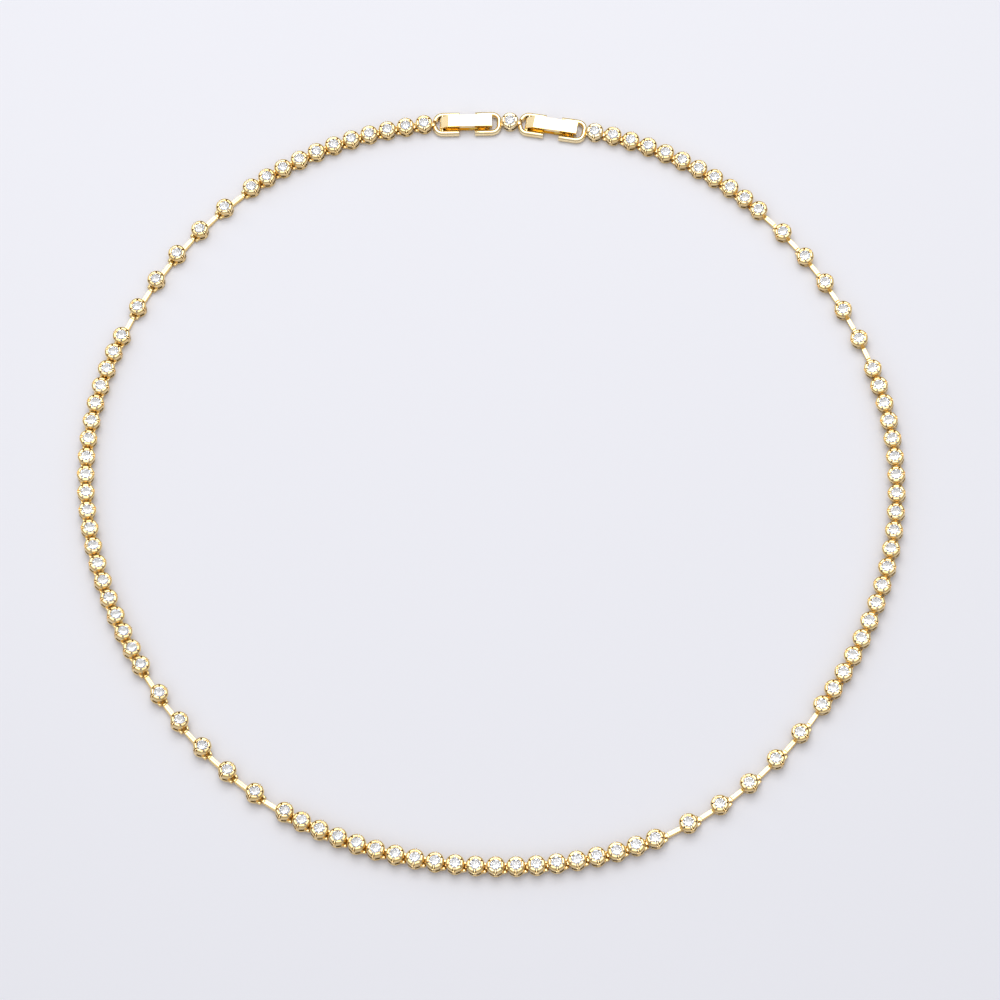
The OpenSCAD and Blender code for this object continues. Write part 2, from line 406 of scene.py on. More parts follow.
def between(value: float, table: Sequence[Span]) -> float:
    """Reads a table of two columns, with straight lines between its rows.

    Args:
        value: Where to read, in the first column.
        table: Rows in rising order of their first column.

    Returns:
        The value in the second column.
    """
    if value <= table[0][0]:
        return table[0][1]
    for (low, low_out), (high, high_out) in zip(table, table[1:]):
        if value <= high:
            return low_out + (high_out - low_out) * (value - low) / (high - low)
    return table[-1][1]


@dataclass
class Loop:
    """The closed line that the chain follows, in millimetres.

    The line is a circle with a few waves. Each wave has a number round the loop, a height and the
    bearing of a crest. The leans give how far the links lean towards the middle of the loop at a
    bearing, on the edge of a foot with the radius foot_r. Bearings and leans are in degrees.
    """

    link_l: float = 3.2
    bar_link_l: float = 5.8
    clasp_piece_l: float = 14.8
    start_bearing: float = 90.0
    start_shift: float = -10.2
    foot_r: float = 1.3
    waves: tuple[tuple[int, float, float], ...] = ((2, 1.1, -31), (3, 0.3, 36), (6, 0.3, -2))
    leans: tuple[Span, ...] = (
        (-270, 0), (-240, 0), (-215, -2), (-195, 3), (-165, 16), (-145, 18), (-125, 16), (-100, 11),
        (-60, 9), (-35, 6), (-20, 7), (-5, 10), (5, 10), (50, 1), (60, 0), (90, 0),
    )
    runs: tuple[Run, ...] = (
        Run(Kind.CLASP, 1, "clasp_left"),
        Run(Kind.CLASP, 1, "clasp_right"),
        Run(Kind.LINK, 9, "back_right"),
        Run(Kind.BAR, 6, "back_right"),
        Run(Kind.LINK, 19, "right"),
        Run(Kind.BAR, 6, "front_right"),
        Run(Kind.LINK, 19, "front"),
        Run(Kind.BAR, 6, "front_left"),
        Run(Kind.LINK, 19, "left"),
        Run(Kind.BAR, 6, "back_left"),
        Run(Kind.LINK, 11, "back_left"),
    )

    def piece_length(self, kind: Kind) -> float:
        """Gives the length of a piece from joint to joint."""
        lengths = {Kind.LINK: self.link_l, Kind.BAR: self.bar_link_l}
        return lengths.get(kind, self.clasp_piece_l)

    def places(self) -> list[Place]:
        """Works out where each piece lies, clockwise from the joint before the left clasp.

        Returns:
            The pieces' places in their order along the chain.
        """
        order = [(run.kind, run.name) for run in self.runs for _ in range(run.count)]
        starts = [0.0]
        for kind, _ in order:
            starts.append(starts[-1] + self.piece_length(kind))
        length = starts[-1]
        mean_r = length / math.tau

        def rough_point(bearing: float) -> Vector:
            """Gives the wavy circle's point at a bearing in degrees.

            Args:
                bearing: The bearing.

            Returns:
                The point, before the loop is brought to its length.
            """
            way = math.radians(bearing)
            waves = [
                height * math.cos(math.radians(number * (bearing - crest)))
                for number, height, crest in self.waves
            ]
            return Vector((math.cos(way), math.sin(way))) * (mean_r + sum(waves))

        walk = [(0.0, self.start_bearing)]
        for step in range(1, 361):
            bearing = self.start_bearing - step
            walked = (rough_point(bearing) - rough_point(bearing + 1)).length
            walk.append((walk[-1][0] + walked, bearing))
        scale = length / walk[-1][0]

        def bearing_at(distance: float) -> float:
            """Gives the bearing of a point at a distance along the chain."""
            return between((distance % length) / scale, walk)

        joints = [scale * rough_point(bearing_at(s + self.start_shift)) for s in starts]
        spans = [sorted(joint[axis] for joint in joints) for axis in (0, 1)]
        middle = Vector([(span[0] + span[-1]) / 2 for span in spans])
        found = []
        for i, (kind, run) in enumerate(order):
            here, there = joints[i] - middle, joints[i + 1] - middle
            lean = 0.0
            if kind is not Kind.CLASP:
                halfway = (starts[i] + starts[i + 1]) / 2 + self.start_shift
                lean = math.radians(between(bearing_at(halfway), self.leans))
            heading = math.atan2(there.y - here.y, there.x - here.x)
            pose = (
                Matrix.Translation((here.x, here.y, self.foot_r * abs(math.sin(lean))))
                @ Matrix.Rotation(heading, 4, "Z")
                @ Matrix.Rotation(lean, 4, "X")
            )
            found.append(Place(kind, run, pose))
        return found


@dataclass
class Cup:
    """Rounded six-sided cup: foot ring, waist with windows, rolled rim, pits, claws and a seat.

    The rows of the rim and the foot give a ring's height, mean radius and roundness. Those of the
    seat give the radius and the height of the bur that cuts it.
    """

    corners: ClassVar[range] = range(30, 390, 60)
    across: ClassVar[tuple[int, int]] = (90, 270)

    corner_r: float = 1.5
    corner_round: float = 0.55
    corner_steps: int = 5
    shoulder_z: float = 0.62
    wall_z: float = 1.2
    rim_rows: tuple[Point, ...] = (
        (1.38, 1.4, 0.0),
        (1.56, 1.465, 0.1),
        (1.76, 1.485, 0.1),
        (1.94, 1.455, 0.1),
        (2.075, 1.37, 0.2),
        (2.16, 1.245, 0.4),
        (2.19, 1.1, 0.6),
        (2.175, 0.99, 0.9),
        (2.105, 0.915, 1.0),
    )
    foot_rows: tuple[Point, ...] = (
        (0.46, 1.33, 0.1),
        (0.36, 1.365, 0.1),
        (0.16, 1.35, 0.2),
        (0.0, 1.27, 0.8),
    )
    seat_rows: tuple[Span, ...] = (
        (0.6, -0.2), (0.6, 1.02), (1.14, 1.5), (1.14, 1.8), (0.89, 1.96), (0.89, 2.4),
    )
    seat_sides: int = 30
    foot_h: float = 0.48
    window_turns: tuple[int, int] = (60, 120)
    window_w: float = 0.84
    window_h: float = 0.44
    pit_r: float = 0.19
    pit_sides: int = 8
    pit_x: float = 1.12
    pit_z: float = 1.35
    pit_top: float = 2.5
    side_pit_w: float = 0.5
    side_pit_x: float = 0.86
    claw_w: float = 0.14
    claw_x: Span = (0.8, 1.46)
    claw_z: Span = (1.6, 2.13)
    claw_slope: float = 0.3
    claw_rounding: float = 0.04
    fork_room_x: float = 0.98
    fork_room_w: float = 0.92
    tongue_room_x: float = 1.13
    rounding: float = 0.03

    def build(self, fork_top: float, tongue_top: float) -> Item:
        """Makes the cup round the stone's axis.

        Args:
            fork_top: Height of the room for what hinges on the link's own fork, or 0.
            tongue_top: Height of the room for what hinges on its tongue, or 0.

        Returns:
            The cup in millimetres.
        """
        cup = self.body()
        cutters = [self.seat(), *self.windows(), *self.pits()]
        if fork_top > 0:
            x_span = (-FAR, -self.fork_room_x)
            cutters.append(Bench.box_blank(self.fork_room_w, x_span, (BELOW, fork_top)))
        if tongue_top > 0:
            x_span = (self.tongue_room_x, FAR)
            cutters.append(Bench.box_blank(2 * FAR, x_span, (BELOW, tongue_top)))
        Bench.cut(cup, *cutters)
        Bench.rounded(Bench.cleaned(cup), self.rounding, 1)
        return Bench.joined([cup, *self.claws()])

    def body(self) -> Item:
        """Makes the cup's outside with its round foot and its fat rim.

        Returns:
            The cup's outside.
        """
        body = Bench.round_blank(6, self.corner_r, (self.shoulder_z, self.wall_z))
        with Bench.editing(body):
            Bench.pick(body, "EDGE", lambda middle, way: abs(way.z) > ALONG)
            bpy.ops.mesh.bevel(offset=self.corner_round, segments=self.corner_steps)
            for side, rows in ((1, self.rim_rows), (-1, self.foot_rows)):
                Bench.pick(body, "FACE", lambda middle, normal: normal.z * side > ALONG)
                for row in rows:
                    Bench.pull_ring(body, *row)
        return body

    def seat(self) -> Item:
        """Makes the bur that cuts the light hole, the seat and the opening over the stone."""
        return Bench.turned(self.seat_sides, self.seat_rows)

    def windows(self) -> list[Item]:
        """Makes the two slot cutters for the windows in the four sloping flats.

        Returns:
            The cutters.
        """
        cutters = []
        z_span = (self.foot_h, self.foot_h + self.window_h)
        for angle in self.window_turns:
            slot = Bench.box_blank(self.window_w, (-FAR, FAR), z_span)
            slot.data.transform(rotation(angle, "Z"))
            cutters.append(slot)
        return cutters

    def pits(self) -> list[Item]:
        """Makes the cutters for the dark pits in the corners, wider in the two across the chain.

        Returns:
            The cutters.
        """
        cutters = []
        z_span = (self.pit_z, self.pit_top)
        for angle in self.corners:
            if angle in self.across:
                pit = Bench.box_blank(self.side_pit_w, (self.side_pit_x, FAR), z_span)
            else:
                pit = Bench.round_blank(self.pit_sides, self.pit_r, z_span, self.pit_x)
            pit.data.transform(rotation(angle, "Z"))
            cutters.append(pit)
        return cutters

    def claws(self) -> list[Item]:
        """Makes the claws that reach over the stone in the two corners across the chain.

        Returns:
            The claws.
        """
        claws = []
        middle_x, middle_z = sum(self.claw_x) / 2, sum(self.claw_z) / 2

        def lower_inner(middle: Vector, way: Vector) -> bool:
            """Says whether an edge is the lower one at the claw's inner end."""
            return abs(way.y) > ALONG and middle.x < middle_x and middle.z < middle_z

        for angle in self.across:
            claw = Bench.box_blank(self.claw_w, self.claw_x, self.claw_z)
            with Bench.editing(claw):
                Bench.pick(claw, "EDGE", lower_inner)
                bpy.ops.mesh.bevel(offset=self.claw_slope, segments=1)
            Bench.rounded(claw, self.claw_rounding)
            claw.data.transform(rotation(angle, "Z"))
            claws.append(claw)
        return claws


@dataclass
class Joint:
    """Fork, tongue and bar that hinge one link on the next."""

    pin_r: float = 0.13
    pin_sides: int = 10
    hole_r: float = 0.28
    hole_sides: int = 12
    eye_r: float = 0.42
    eye_t: float = 0.6
    eye_rounding: float = 0.03
    ear_r: float = 0.27
    ear_t: float = 0.3
    ear_mid: float = 0.61
    ear_flare: float = 0.16
    ear_rounding: float = 0.05
    plate_sides: int = 16
    z: float = 0.52
    fork_reach: float = 1.6
    root_x: float = 0.95
    room: float = 0.2
    bar_w: float = 0.7
    bar_h: float = 0.8
    bar_shoulder: float = 0.3
    bar_rounding: float = 0.04
    notch_start: float = 0.6
    notch_end: float = 0.37
    notch_depth: float = 0.32
    notch_w: float = 2.0

    @property
    def top(self) -> float:
        """Height of the upper side of the eye and the bar."""
        return self.z + self.eye_r

    @property
    def eye_top(self) -> float:
        """Height of the room that the next link's eye needs."""
        return self.top + self.room

    @property
    def ear_top(self) -> float:
        """Height of the room that the next link's ears need."""
        return self.z + self.ear_r + self.room

    def plate(self, radius: float, start: float, end: float, y: float, thickness: float) -> Item:
        """Makes an upright plate with a round end.

        Args:
            radius: Radius of its round end, which is half its height.
            start: Place of its square end along the chain.
            end: Place of the middle of its round end.
            y: Place of its middle across the chain.
            thickness: Its thickness.

        Returns:
            The new object.
        """
        half_step = 180 / self.plate_sides
        corner_r = radius / math.cos(math.radians(half_step))
        z_span = (-thickness / 2, thickness / 2)
        made = Bench.round_blank(self.plate_sides, corner_r, z_span)
        made.data.transform(rotation(90, "X") @ rotation(half_step, "Z"))
        side = 1 if end > start else -1
        with Bench.editing(made):
            Bench.pick(made, "VERT", lambda point, _: point.x * side < 0)
            bpy.ops.transform.resize(value=(0, 1, 1), center_override=(0, 0, 0))
            bpy.ops.transform.translate(value=(start - end, 0, 0))
        made.data.transform(Matrix.Translation((end, y, self.z)))
        return made

    def fork(self) -> list[Item]:
        """Makes the two ears and the pin at the start of a link.

        Returns:
            The ears and the pin.
        """
        parts = []
        for side in (-1, 1):
            y = side * self.ear_mid
            ear = self.plate(self.ear_r, -self.root_x, -self.fork_reach, y, self.ear_t)
            with Bench.editing(ear):
                Bench.pick(ear, "VERT", self.outer_root)
                bpy.ops.transform.translate(value=(0, side * self.ear_flare, 0))
            parts.append(Bench.rounded(Bench.cleaned(ear), self.ear_rounding))
        pin = (self.pin_sides, self.pin_r, 2 * self.ear_mid, -self.fork_reach, self.z)
        return [*parts, Bench.across(*pin)]

    def outer_root(self, point: Vector, _: Vector) -> bool:
        """Says whether a point is on the outer side of an ear's square end."""
        return point.x > -self.fork_reach and abs(point.y) > self.ear_mid

    def tongue(self, reach: float) -> Item:
        """Makes the tongue with the eye that turns on the next link's pin.

        Args:
            reach: Distance of the eye's middle from the cup's middle.

        Returns:
            The tongue.
        """
        tongue = self.plate(self.eye_r, self.root_x, reach, 0, self.eye_t)
        Bench.cut(tongue, Bench.across(self.hole_sides, self.hole_r, 2 * FAR, reach, self.z))
        return Bench.rounded(Bench.cleaned(tongue), self.eye_rounding)

    def bar(self, reach: float) -> Item:
        """Makes the bar of a bar link.

        Args:
            reach: Distance of the eye's middle from the cup's middle.

        Returns:
            The bar.
        """
        x_span = (self.root_x, reach - self.ear_r - self.room)
        bar = Bench.box_blank(self.bar_w, x_span, (self.top - self.bar_h, self.top))
        with Bench.editing(bar):
            Bench.pick(bar, "EDGE", lambda middle, way: abs(way.x) > ALONG and middle.z > self.z)
            bpy.ops.mesh.bevel(offset=self.bar_shoulder, segments=2)
        self.notch(bar, reach)
        return Bench.rounded(bar, self.bar_rounding)

    def notch(self, item: Item, reach: float) -> None:
        """Cuts the notch that marks the end of a bar.

        Args:
            item: Bar or tongue that it is cut into.
            reach: Distance of the eye's middle from the cup's middle.
        """
        x_span = (reach - self.notch_start, reach - self.notch_end)
        z_span = (self.top - self.notch_depth, self.top + self.room)
        Bench.cut(item, Bench.box_blank(self.notch_w, x_span, z_span))


@dataclass
class Stone:
    """Round stone that is cut from a blank facet by facet, with its girdle where the seat is."""

    fold: int = 8
    radius: float = 1.1
    table_r: float = 0.63
    girdle_z: float = 1.72
    girdle_h: float = 0.05
    girdle_inset: float = 0.012
    crown_h: float = 0.32
    pavilion_h: float = 0.92
    star_angle: float = 21.0
    upper_girdle_angle: float = 41.0
    lower_girdle_angle: float = 42.3

    def build(self) -> Item:
        """Cuts the stone.

        Returns:
            The stone in millimetres.
        """
        crown_z = self.girdle_z + self.girdle_h
        table_z = crown_z + self.crown_h
        tip_z = self.girdle_z - self.pavilion_h
        stone = Bench.round_blank(4 * self.fold, self.radius, (tip_z, table_z))
        crown_angle = math.degrees(math.atan2(self.crown_h, self.radius - self.table_r))
        pavilion_angle = math.degrees(math.atan2(self.pavilion_h, self.radius))
        rim = self.radius - self.girdle_inset
        step = 360 / self.fold
        star_r = self.table_r * math.cos(math.radians(step / 2))
        with Bench.editing(stone):
            for turn in range(self.fold):
                self.facet(step * turn, crown_angle, self.table_r, table_z, 1)
                self.facet(step * turn, pavilion_angle, 0, tip_z, -1)
            for turn in range(self.fold):
                self.facet(step * (turn + 0.5), self.star_angle, star_r, table_z, 1)
            for turn in range(2 * self.fold):
                bearing = step / 2 * (turn + 0.5)
                self.facet(bearing, self.upper_girdle_angle, rim, crown_z, 1)
                self.facet(bearing, self.lower_girdle_angle, rim, self.girdle_z, -1)
        return Bench.cleaned(stone)

    @staticmethod
    def facet(bearing: float, angle: float, radius: float, z: float, side: int) -> None:
        """Grinds one facet on the stone that is open in edit mode.

        Args:
            bearing: Direction of the facet round the axis, in degrees.
            angle: Its slope from the girdle's plane, in degrees.
            radius: Distance from the axis of a point on it.
            z: Height of that point.
            side: 1 for the crown and -1 for the pavilion.
        """
        way, slope = math.radians(bearing), math.radians(angle)
        x, y = math.cos(way), math.sin(way)
        bpy.ops.mesh.select_all(action="SELECT")
        bpy.ops.mesh.bisect(
            plane_co=(radius * x, radius * y, z),
            plane_no=(math.sin(slope) * x, math.sin(slope) * y, side * math.cos(slope)),
            use_fill=True,
            clear_outer=True,
            threshold=FACET_THRESHOLD,
        )


@dataclass
class Clasp:
    """Fold-over clasp: two bows of band, a strip with its catch, and a hinged cover."""

    frame_l: float = 11.9
    frame_w: float = 4.3
    band_w: float = 0.84
    band_h: float = 1.15
    band_lift: float = 0.05
    band_sides: int = 20
    band_rounding: float = 0.06
    blank_half: float = 0.1
    bend_r: float = 1.3
    bend_steps: int = 8
    side_gap: float = 2.7
    slot_y: float = 0.51
    slot_pin_r: float = 0.12
    slot_pin_l: float = 1.42
    slot_pin_sides: int = 12
    joint_x: float = 5.8
    joint_z: float = 0.52
    cup_x: float = 7.4
    root_x: float = 0.95
    room: float = 0.2
    hinge_x: float = -4.25
    hinge_z: float = 1.0
    hinge_pin_r: float = 0.16
    pin_sides: int = 14
    barrel_r: float = 0.45
    barrel_w: float = 1.8
    barrel_sides: int = 18
    bore_r: float = 0.31
    strip_t: float = 0.25
    strip_w: float = 1.8
    hook_x: float = 3.65
    hook_t: float = 0.2
    hook_z: float = 0.95
    tab_x: float = -1.55
    tab_w: float = 2.3
    tab_z: float = 0.85
    step_w: float = 1.4
    step_z: float = 0.75
    works_rounding: float = 0.04
    catch_x: float = 0.5
    catch_l: float = 1.2
    catch_r: float = 0.26
    catch_y: float = 0.82
    catch_z: float = 0.8
    catch_angles: tuple[int, ...] = (15, 40, 65, 90)
    loop_bar_x: float = 3.25
    loop_bar_z: float = 0.6
    loop_bar_r: float = 0.2
    web_w: float = 0.92
    web_z: float = 0.4
    web_h: float = 0.4
    web_rounding: float = 0.05
    cover_w: float = 2.12
    cover_z: float = 2.15
    cover_t: float = 0.3
    cover_wall: float = 0.2
    cover_end_x: float = 4.3
    cover_rounding: float = 0.035
    bevel_x: float = -3.15
    flange_z: float = 1.35
    lip_z: float = 0.75

    @property
    def arm_y(self) -> float:
        """Distance of an arm's middle from the clasp's middle line."""
        return (self.frame_w - self.band_w) / 2

    @property
    def bow_top(self) -> float:
        """Height of the room that a bow needs in the setting before it."""
        return self.band_lift + self.band_h + self.room

    @property
    def end_x(self) -> float:
        """Distance of the round end's middle from the clasp's middle."""
        return (self.frame_l - self.band_w) / 2

    def bow(self, side: int) -> Item:
        """Makes half of the frame by sweeping the band's section round the bow.

        Args:
            side: -1 for the half at the hinge and 1 for the half with the cross bar.

        Returns:
            The bow.
        """
        bend_x, bend_y = self.end_x - self.bend_r, self.arm_y - self.bend_r
        straight = bend_x - self.side_gap / 2
        radius = self.band_w / 2
        half_step = 180 / self.band_sides
        corner_r = radius / math.cos(math.radians(half_step))
        bow = Bench.round_blank(self.band_sides, corner_r, (-self.blank_half, self.blank_half))
        bow.data.transform(rotation(90, "Y") @ rotation(half_step, "Z"))
        start = (self.blank_half - self.side_gap / 2, self.arm_y, self.band_lift + radius)
        with Bench.editing(bow):
            Bench.pick(bow, "VERT", lambda point, _: point.z > 0)
            bpy.ops.transform.translate(value=(0, 0, self.band_h - self.band_w))
            Bench.pick(bow, "VERT", lambda point, _: point.x > 0)
            bpy.ops.mesh.delete(type="VERT")
            bpy.ops.mesh.select_all(action="SELECT")
            bpy.ops.transform.translate(value=start)
            bpy.ops.mesh.edge_face_add()
            for step, center_y in (((-straight, 0, 0), bend_y), ((0, -2 * bend_y, 0), -bend_y)):
                Bench.pull(step)
                bpy.ops.mesh.spin(
                    steps=self.bend_steps,
                    angle=math.radians(-90),
                    center=(-bend_x, center_y, 0),
                    axis=(0, 0, 1),
                )
            Bench.pull((straight, 0, 0))
        Bench.cleaned(bow)
        if side > 0:
            bow.data.transform(rotation(180, "Z"))
        return bow

    def slotted_bow(self) -> Item:
        """Makes the bow with its slot and its two pins.

        Returns:
            The bow in millimetres.
        """
        bow = self.bow(-1)
        slot_end = 2 * self.band_w - self.frame_l / 2
        Bench.cut(bow, Bench.box_blank(2 * self.slot_y, (-self.frame_l, slot_end), (BELOW, FAR)))
        slot_pin = (self.slot_pin_r, self.slot_pin_l, -self.joint_x, self.joint_z)
        hinge_pin = (self.hinge_pin_r, 2 * self.arm_y, self.hinge_x, self.hinge_z)
        parts = [
            Bench.rounded(Bench.cleaned(bow), self.band_rounding),
            Bench.across(self.slot_pin_sides, *slot_pin),
            Bench.across(self.pin_sides, *hinge_pin),
        ]
        return Bench.joined(parts)

    def works(self) -> Item:
        """Makes the strip under the cover with its foot plate, hook, tab, step and catches.

        Returns:
            The works in millimetres.
        """
        parts = []
        plate_x = (self.hinge_x - self.barrel_r, self.hinge_x + self.barrel_r)
        hook_end = self.hook_x + self.hook_t
        for width, x_span, top in (
            (2 * self.arm_y, plate_x, self.strip_t),
            (self.strip_w, (self.hinge_x, hook_end), self.strip_t),
            (self.strip_w, (self.hook_x, hook_end), self.hook_z),
            (self.tab_w, (self.tab_x, self.tab_x + self.hook_t), self.tab_z),
            (self.step_w, (self.tab_x, self.catch_x + self.catch_l), self.step_z),
        ):
            box = Bench.box_blank(width, x_span, (0, top))
            parts.append(Bench.rounded(box, self.works_rounding))
        return Bench.joined([*parts, self.catch(-1), self.catch(1)])

    def catch(self, side: int) -> Item:
        """Makes the rounded catch at one side of the step.

        Args:
            side: -1 or 1 for the side across the chain.

        Returns:
            The catch.
        """
        ways = [math.radians(angle) for angle in self.catch_angles]
        ends = [(self.catch_r * math.sin(way), -self.catch_r * math.cos(way)) for way in ways]
        profile = [*ends, *[(radius, self.catch_l - z) for radius, z in reversed(ends)]]
        made = Bench.turned(self.pin_sides, profile)
        place = Matrix.Translation((self.catch_x, side * self.catch_y, self.catch_z))
        made.data.transform(place @ rotation(90, "Y"))
        return made

    def loop(self, cup: Item, tongue: Item) -> Item:
        """Makes the half with the cross bar, soldered to the setting that follows it.

        Args:
            cup: A cup, which is used up.
            tongue: Its tongue, which is used up.

        Returns:
            The loop in millimetres.
        """
        bow = Bench.rounded(self.bow(1), self.band_rounding)
        cross_bar = (self.loop_bar_r, 2 * self.arm_y, self.loop_bar_x, self.loop_bar_z)
        x_span = (self.end_x, self.cup_x - self.root_x)
        web = Bench.box_blank(self.web_w, x_span, (self.web_z, self.web_z + self.web_h))
        for part in (cup, tongue):
            part.data.transform(Matrix.Translation((self.cup_x, 0, 0)))
        Bench.rounded(web, self.web_rounding)
        return Bench.joined([bow, Bench.across(self.pin_sides, *cross_bar), web, cup, tongue])

    def cover(self) -> Item:
        """Makes the hinged cover with its bevelled end, flanges, lip and barrel.

        Returns:
            The cover in millimetres.
        """
        hinge = (self.hinge_x, self.hinge_z)
        start = (self.hinge_x - self.cover_t, self.hinge_z + self.cover_t)
        x_span = (start[0], self.cover_end_x)
        plate = Bench.box_blank(self.cover_w, x_span, (self.lip_z, self.cover_z))
        with Bench.editing(plate):
            self.slice(start, (self.bevel_x, self.cover_z), 1)
            self.slice(start, hinge, -1)
        wall_x, roof_z = self.cover_end_x - self.cover_wall, self.cover_z - self.cover_t
        under = Bench.box_blank(2 * FAR, (self.hinge_x - FAR, wall_x), (0, self.flange_z))
        with Bench.editing(under):
            self.slice(hinge, (self.hinge_x + self.barrel_r, self.flange_z), 1)
        hollow_w = self.cover_w - 2 * self.cover_wall
        hollow = Bench.box_blank(hollow_w, (self.hinge_x, wall_x), (BELOW, roof_z))
        with Bench.editing(hollow):
            end = (self.bevel_x + self.cover_t / 2, roof_z)
            self.slice((self.hinge_x, self.hinge_z + self.cover_t), end, 1)
        Bench.cut(plate, under, hollow)
        Bench.rounded(Bench.cleaned(plate), self.cover_rounding)
        barrel = Bench.across(self.barrel_sides, self.barrel_r, self.barrel_w, *hinge)
        Bench.cut(barrel, Bench.across(self.pin_sides, self.bore_r, 2 * FAR, *hinge))
        return Bench.joined([plate, Bench.cleaned(barrel)])

    @staticmethod
    def slice(start: Span, end: Span, side: int) -> None:
        """Cuts the object that is open in edit mode along a line in x and z, and drops one side.

        Args:
            start: A point on the line.
            end: Another point on it.
            side: 1 drops what is left of the way from start to end, and -1 what is right of it.
        """
        normal = Vector((start[1] - end[1], 0, end[0] - start[0])).normalized() * side
        bpy.ops.mesh.select_all(action="SELECT")
        bpy.ops.mesh.bisect(
            plane_co=(start[0], 0, start[1]), plane_no=normal, use_fill=True, clear_outer=True
        )


class SurfaceMarks:
    """Node group with the soft unevenness and fine rubbing marks that polished metal has."""

    NAME = "surface_marks"
    MARK_STRETCH = (1.0, 0.35, 1.0)

    @classmethod
    def group(cls) -> bpy.types.NodeTree:
        """Builds the group once and gives it.

        Returns:
            The group, with a Waves, a Marks and a Height output.
        """
        if cls.NAME in bpy.data.node_groups:
            return bpy.data.node_groups[cls.NAME]
        tree = bpy.data.node_groups.new(cls.NAME, "ShaderNodeTree")
        for name, value in (("Wave Scale", 400.0), ("Mark Scale", 3000.0), ("Detail", 3.0)):
            socket = tree.interface.new_socket(name, in_out="INPUT", socket_type="NodeSocketFloat")
            socket.default_value = value
        for name in ("Waves", "Marks", "Height"):
            tree.interface.new_socket(name, in_out="OUTPUT", socket_type="NodeSocketFloat")
        nodes = tree.nodes
        entry, leave = nodes.new("NodeGroupInput"), nodes.new("NodeGroupOutput")
        place = nodes.new("ShaderNodeTexCoord")
        waves = nodes.new("ShaderNodeTexNoise")
        stretch = nodes.new("ShaderNodeMapping")
        set_inputs(stretch, {"Scale": cls.MARK_STRETCH})
        marks = nodes.new("ShaderNodeTexNoise")
        total = nodes.new("ShaderNodeMath")
        total.operation = "ADD"
        wire(
            tree,
            (place, "Object", waves, "Vector"),
            (place, "Object", stretch, "Vector"),
            (stretch, "Vector", marks, "Vector"),
            (entry, "Wave Scale", waves, "Scale"),
            (entry, "Mark Scale", marks, "Scale"),
            (entry, "Detail", waves, "Detail"),
            (waves, "Fac", leave, "Waves"),
            (marks, "Fac", leave, "Marks"),
            (waves, "Fac", total, 0),
            (marks, "Fac", total, 1),
            (total, "Value", leave, "Height"),
        )
        return tree


@dataclass(frozen=True)
class Finish:
    """What every finish has: a name and two tones that drift softly over the surface."""

    wave_scale: ClassVar[float] = 400.0
    tone_span: ClassVar[Span] = (0.0, 1.0)

    name: str
    light: Colour
    deep: Colour

    def toned(self, values: dict[str, float]) -> tuple[bpy.types.Material, bpy.types.Node]:
        """Starts the material with its drifting tones.

        Args:
            values: Constants for the inputs of its shader.

        Returns:
            The new material and its surface marks.
        """
        made = bpy.data.materials.new(self.name)
        made.use_nodes = True
        nodes = made.node_tree.nodes
        shader = nodes["Principled BSDF"]
        set_inputs(shader, values)
        marks = nodes.new("ShaderNodeGroup")
        marks.node_tree = SurfaceMarks.group()
        set_inputs(marks, {"Wave Scale": self.wave_scale})
        tone = nodes.new("ShaderNodeValToRGB")
        for i, colour in enumerate((self.deep, self.light)):
            tone.color_ramp.elements[i].position = self.tone_span[i]
            tone.color_ramp.elements[i].color = colour
        wire(
            made.node_tree,
            (marks, "Waves", tone, "Fac"),
            (tone, "Color", shader, "Base Color"),
        )
        return made, marks


@dataclass(frozen=True)
class GoldFinish(Finish):
    """Polished gold plating with faint waves in its tone and fine rubbing marks."""

    tone_span: ClassVar[Span] = (0.35, 0.65)
    gloss_span: ClassVar[Span] = (0.3, 0.7)
    bump_depth: ClassVar[float] = 0.00001

    smooth: float
    dull: float
    bump: float

    def material(self) -> bpy.types.Material:
        """Builds the material.

        Returns:
            The new material.
        """
        made, marks = self.toned({"Metallic": 1.0, "IOR": 1.45})
        nodes = made.node_tree.nodes
        shader = nodes["Principled BSDF"]
        gloss = nodes.new("ShaderNodeMapRange")
        set_inputs(gloss, {"From Min": self.gloss_span[0], "From Max": self.gloss_span[1]})
        set_inputs(gloss, {"To Min": self.smooth, "To Max": self.dull})
        bump = nodes.new("ShaderNodeBump")
        set_inputs(bump, {"Strength": self.bump, "Distance": self.bump_depth})
        wire(
            made.node_tree,
            (marks, "Marks", gloss, "Value"),
            (gloss, "Result", shader, "Roughness"),
            (marks, "Height", bump, "Height"),
            (bump, "Normal", shader, "Normal"),
        )
        return made


@dataclass(frozen=True)
class StoneFinish(Finish):
    """Clear cubic zirconia, with the faintest cloud in its colour."""

    wave_scale: ClassVar[float] = 900.0

    refraction: float
    clearness: float

    def material(self) -> bpy.types.Material:
        """Builds the material.

        Returns:
            The new material.
        """
        values = {
            "Metallic": 0.0,
            "Transmission Weight": self.clearness,
            "IOR": self.refraction,
            "Roughness": 0.0,
        }
        return self.toned(values)[0]


@dataclass(frozen=True)
class FloorFinish(Finish):
    """Pale matt floor with a very faint mottle."""

    wave_scale: ClassVar[float] = 6.0

    def material(self) -> bpy.types.Material:
        """Builds the material."""
        return self.toned({"Roughness": 0.9, "Specular IOR Level": 0.2})[0]


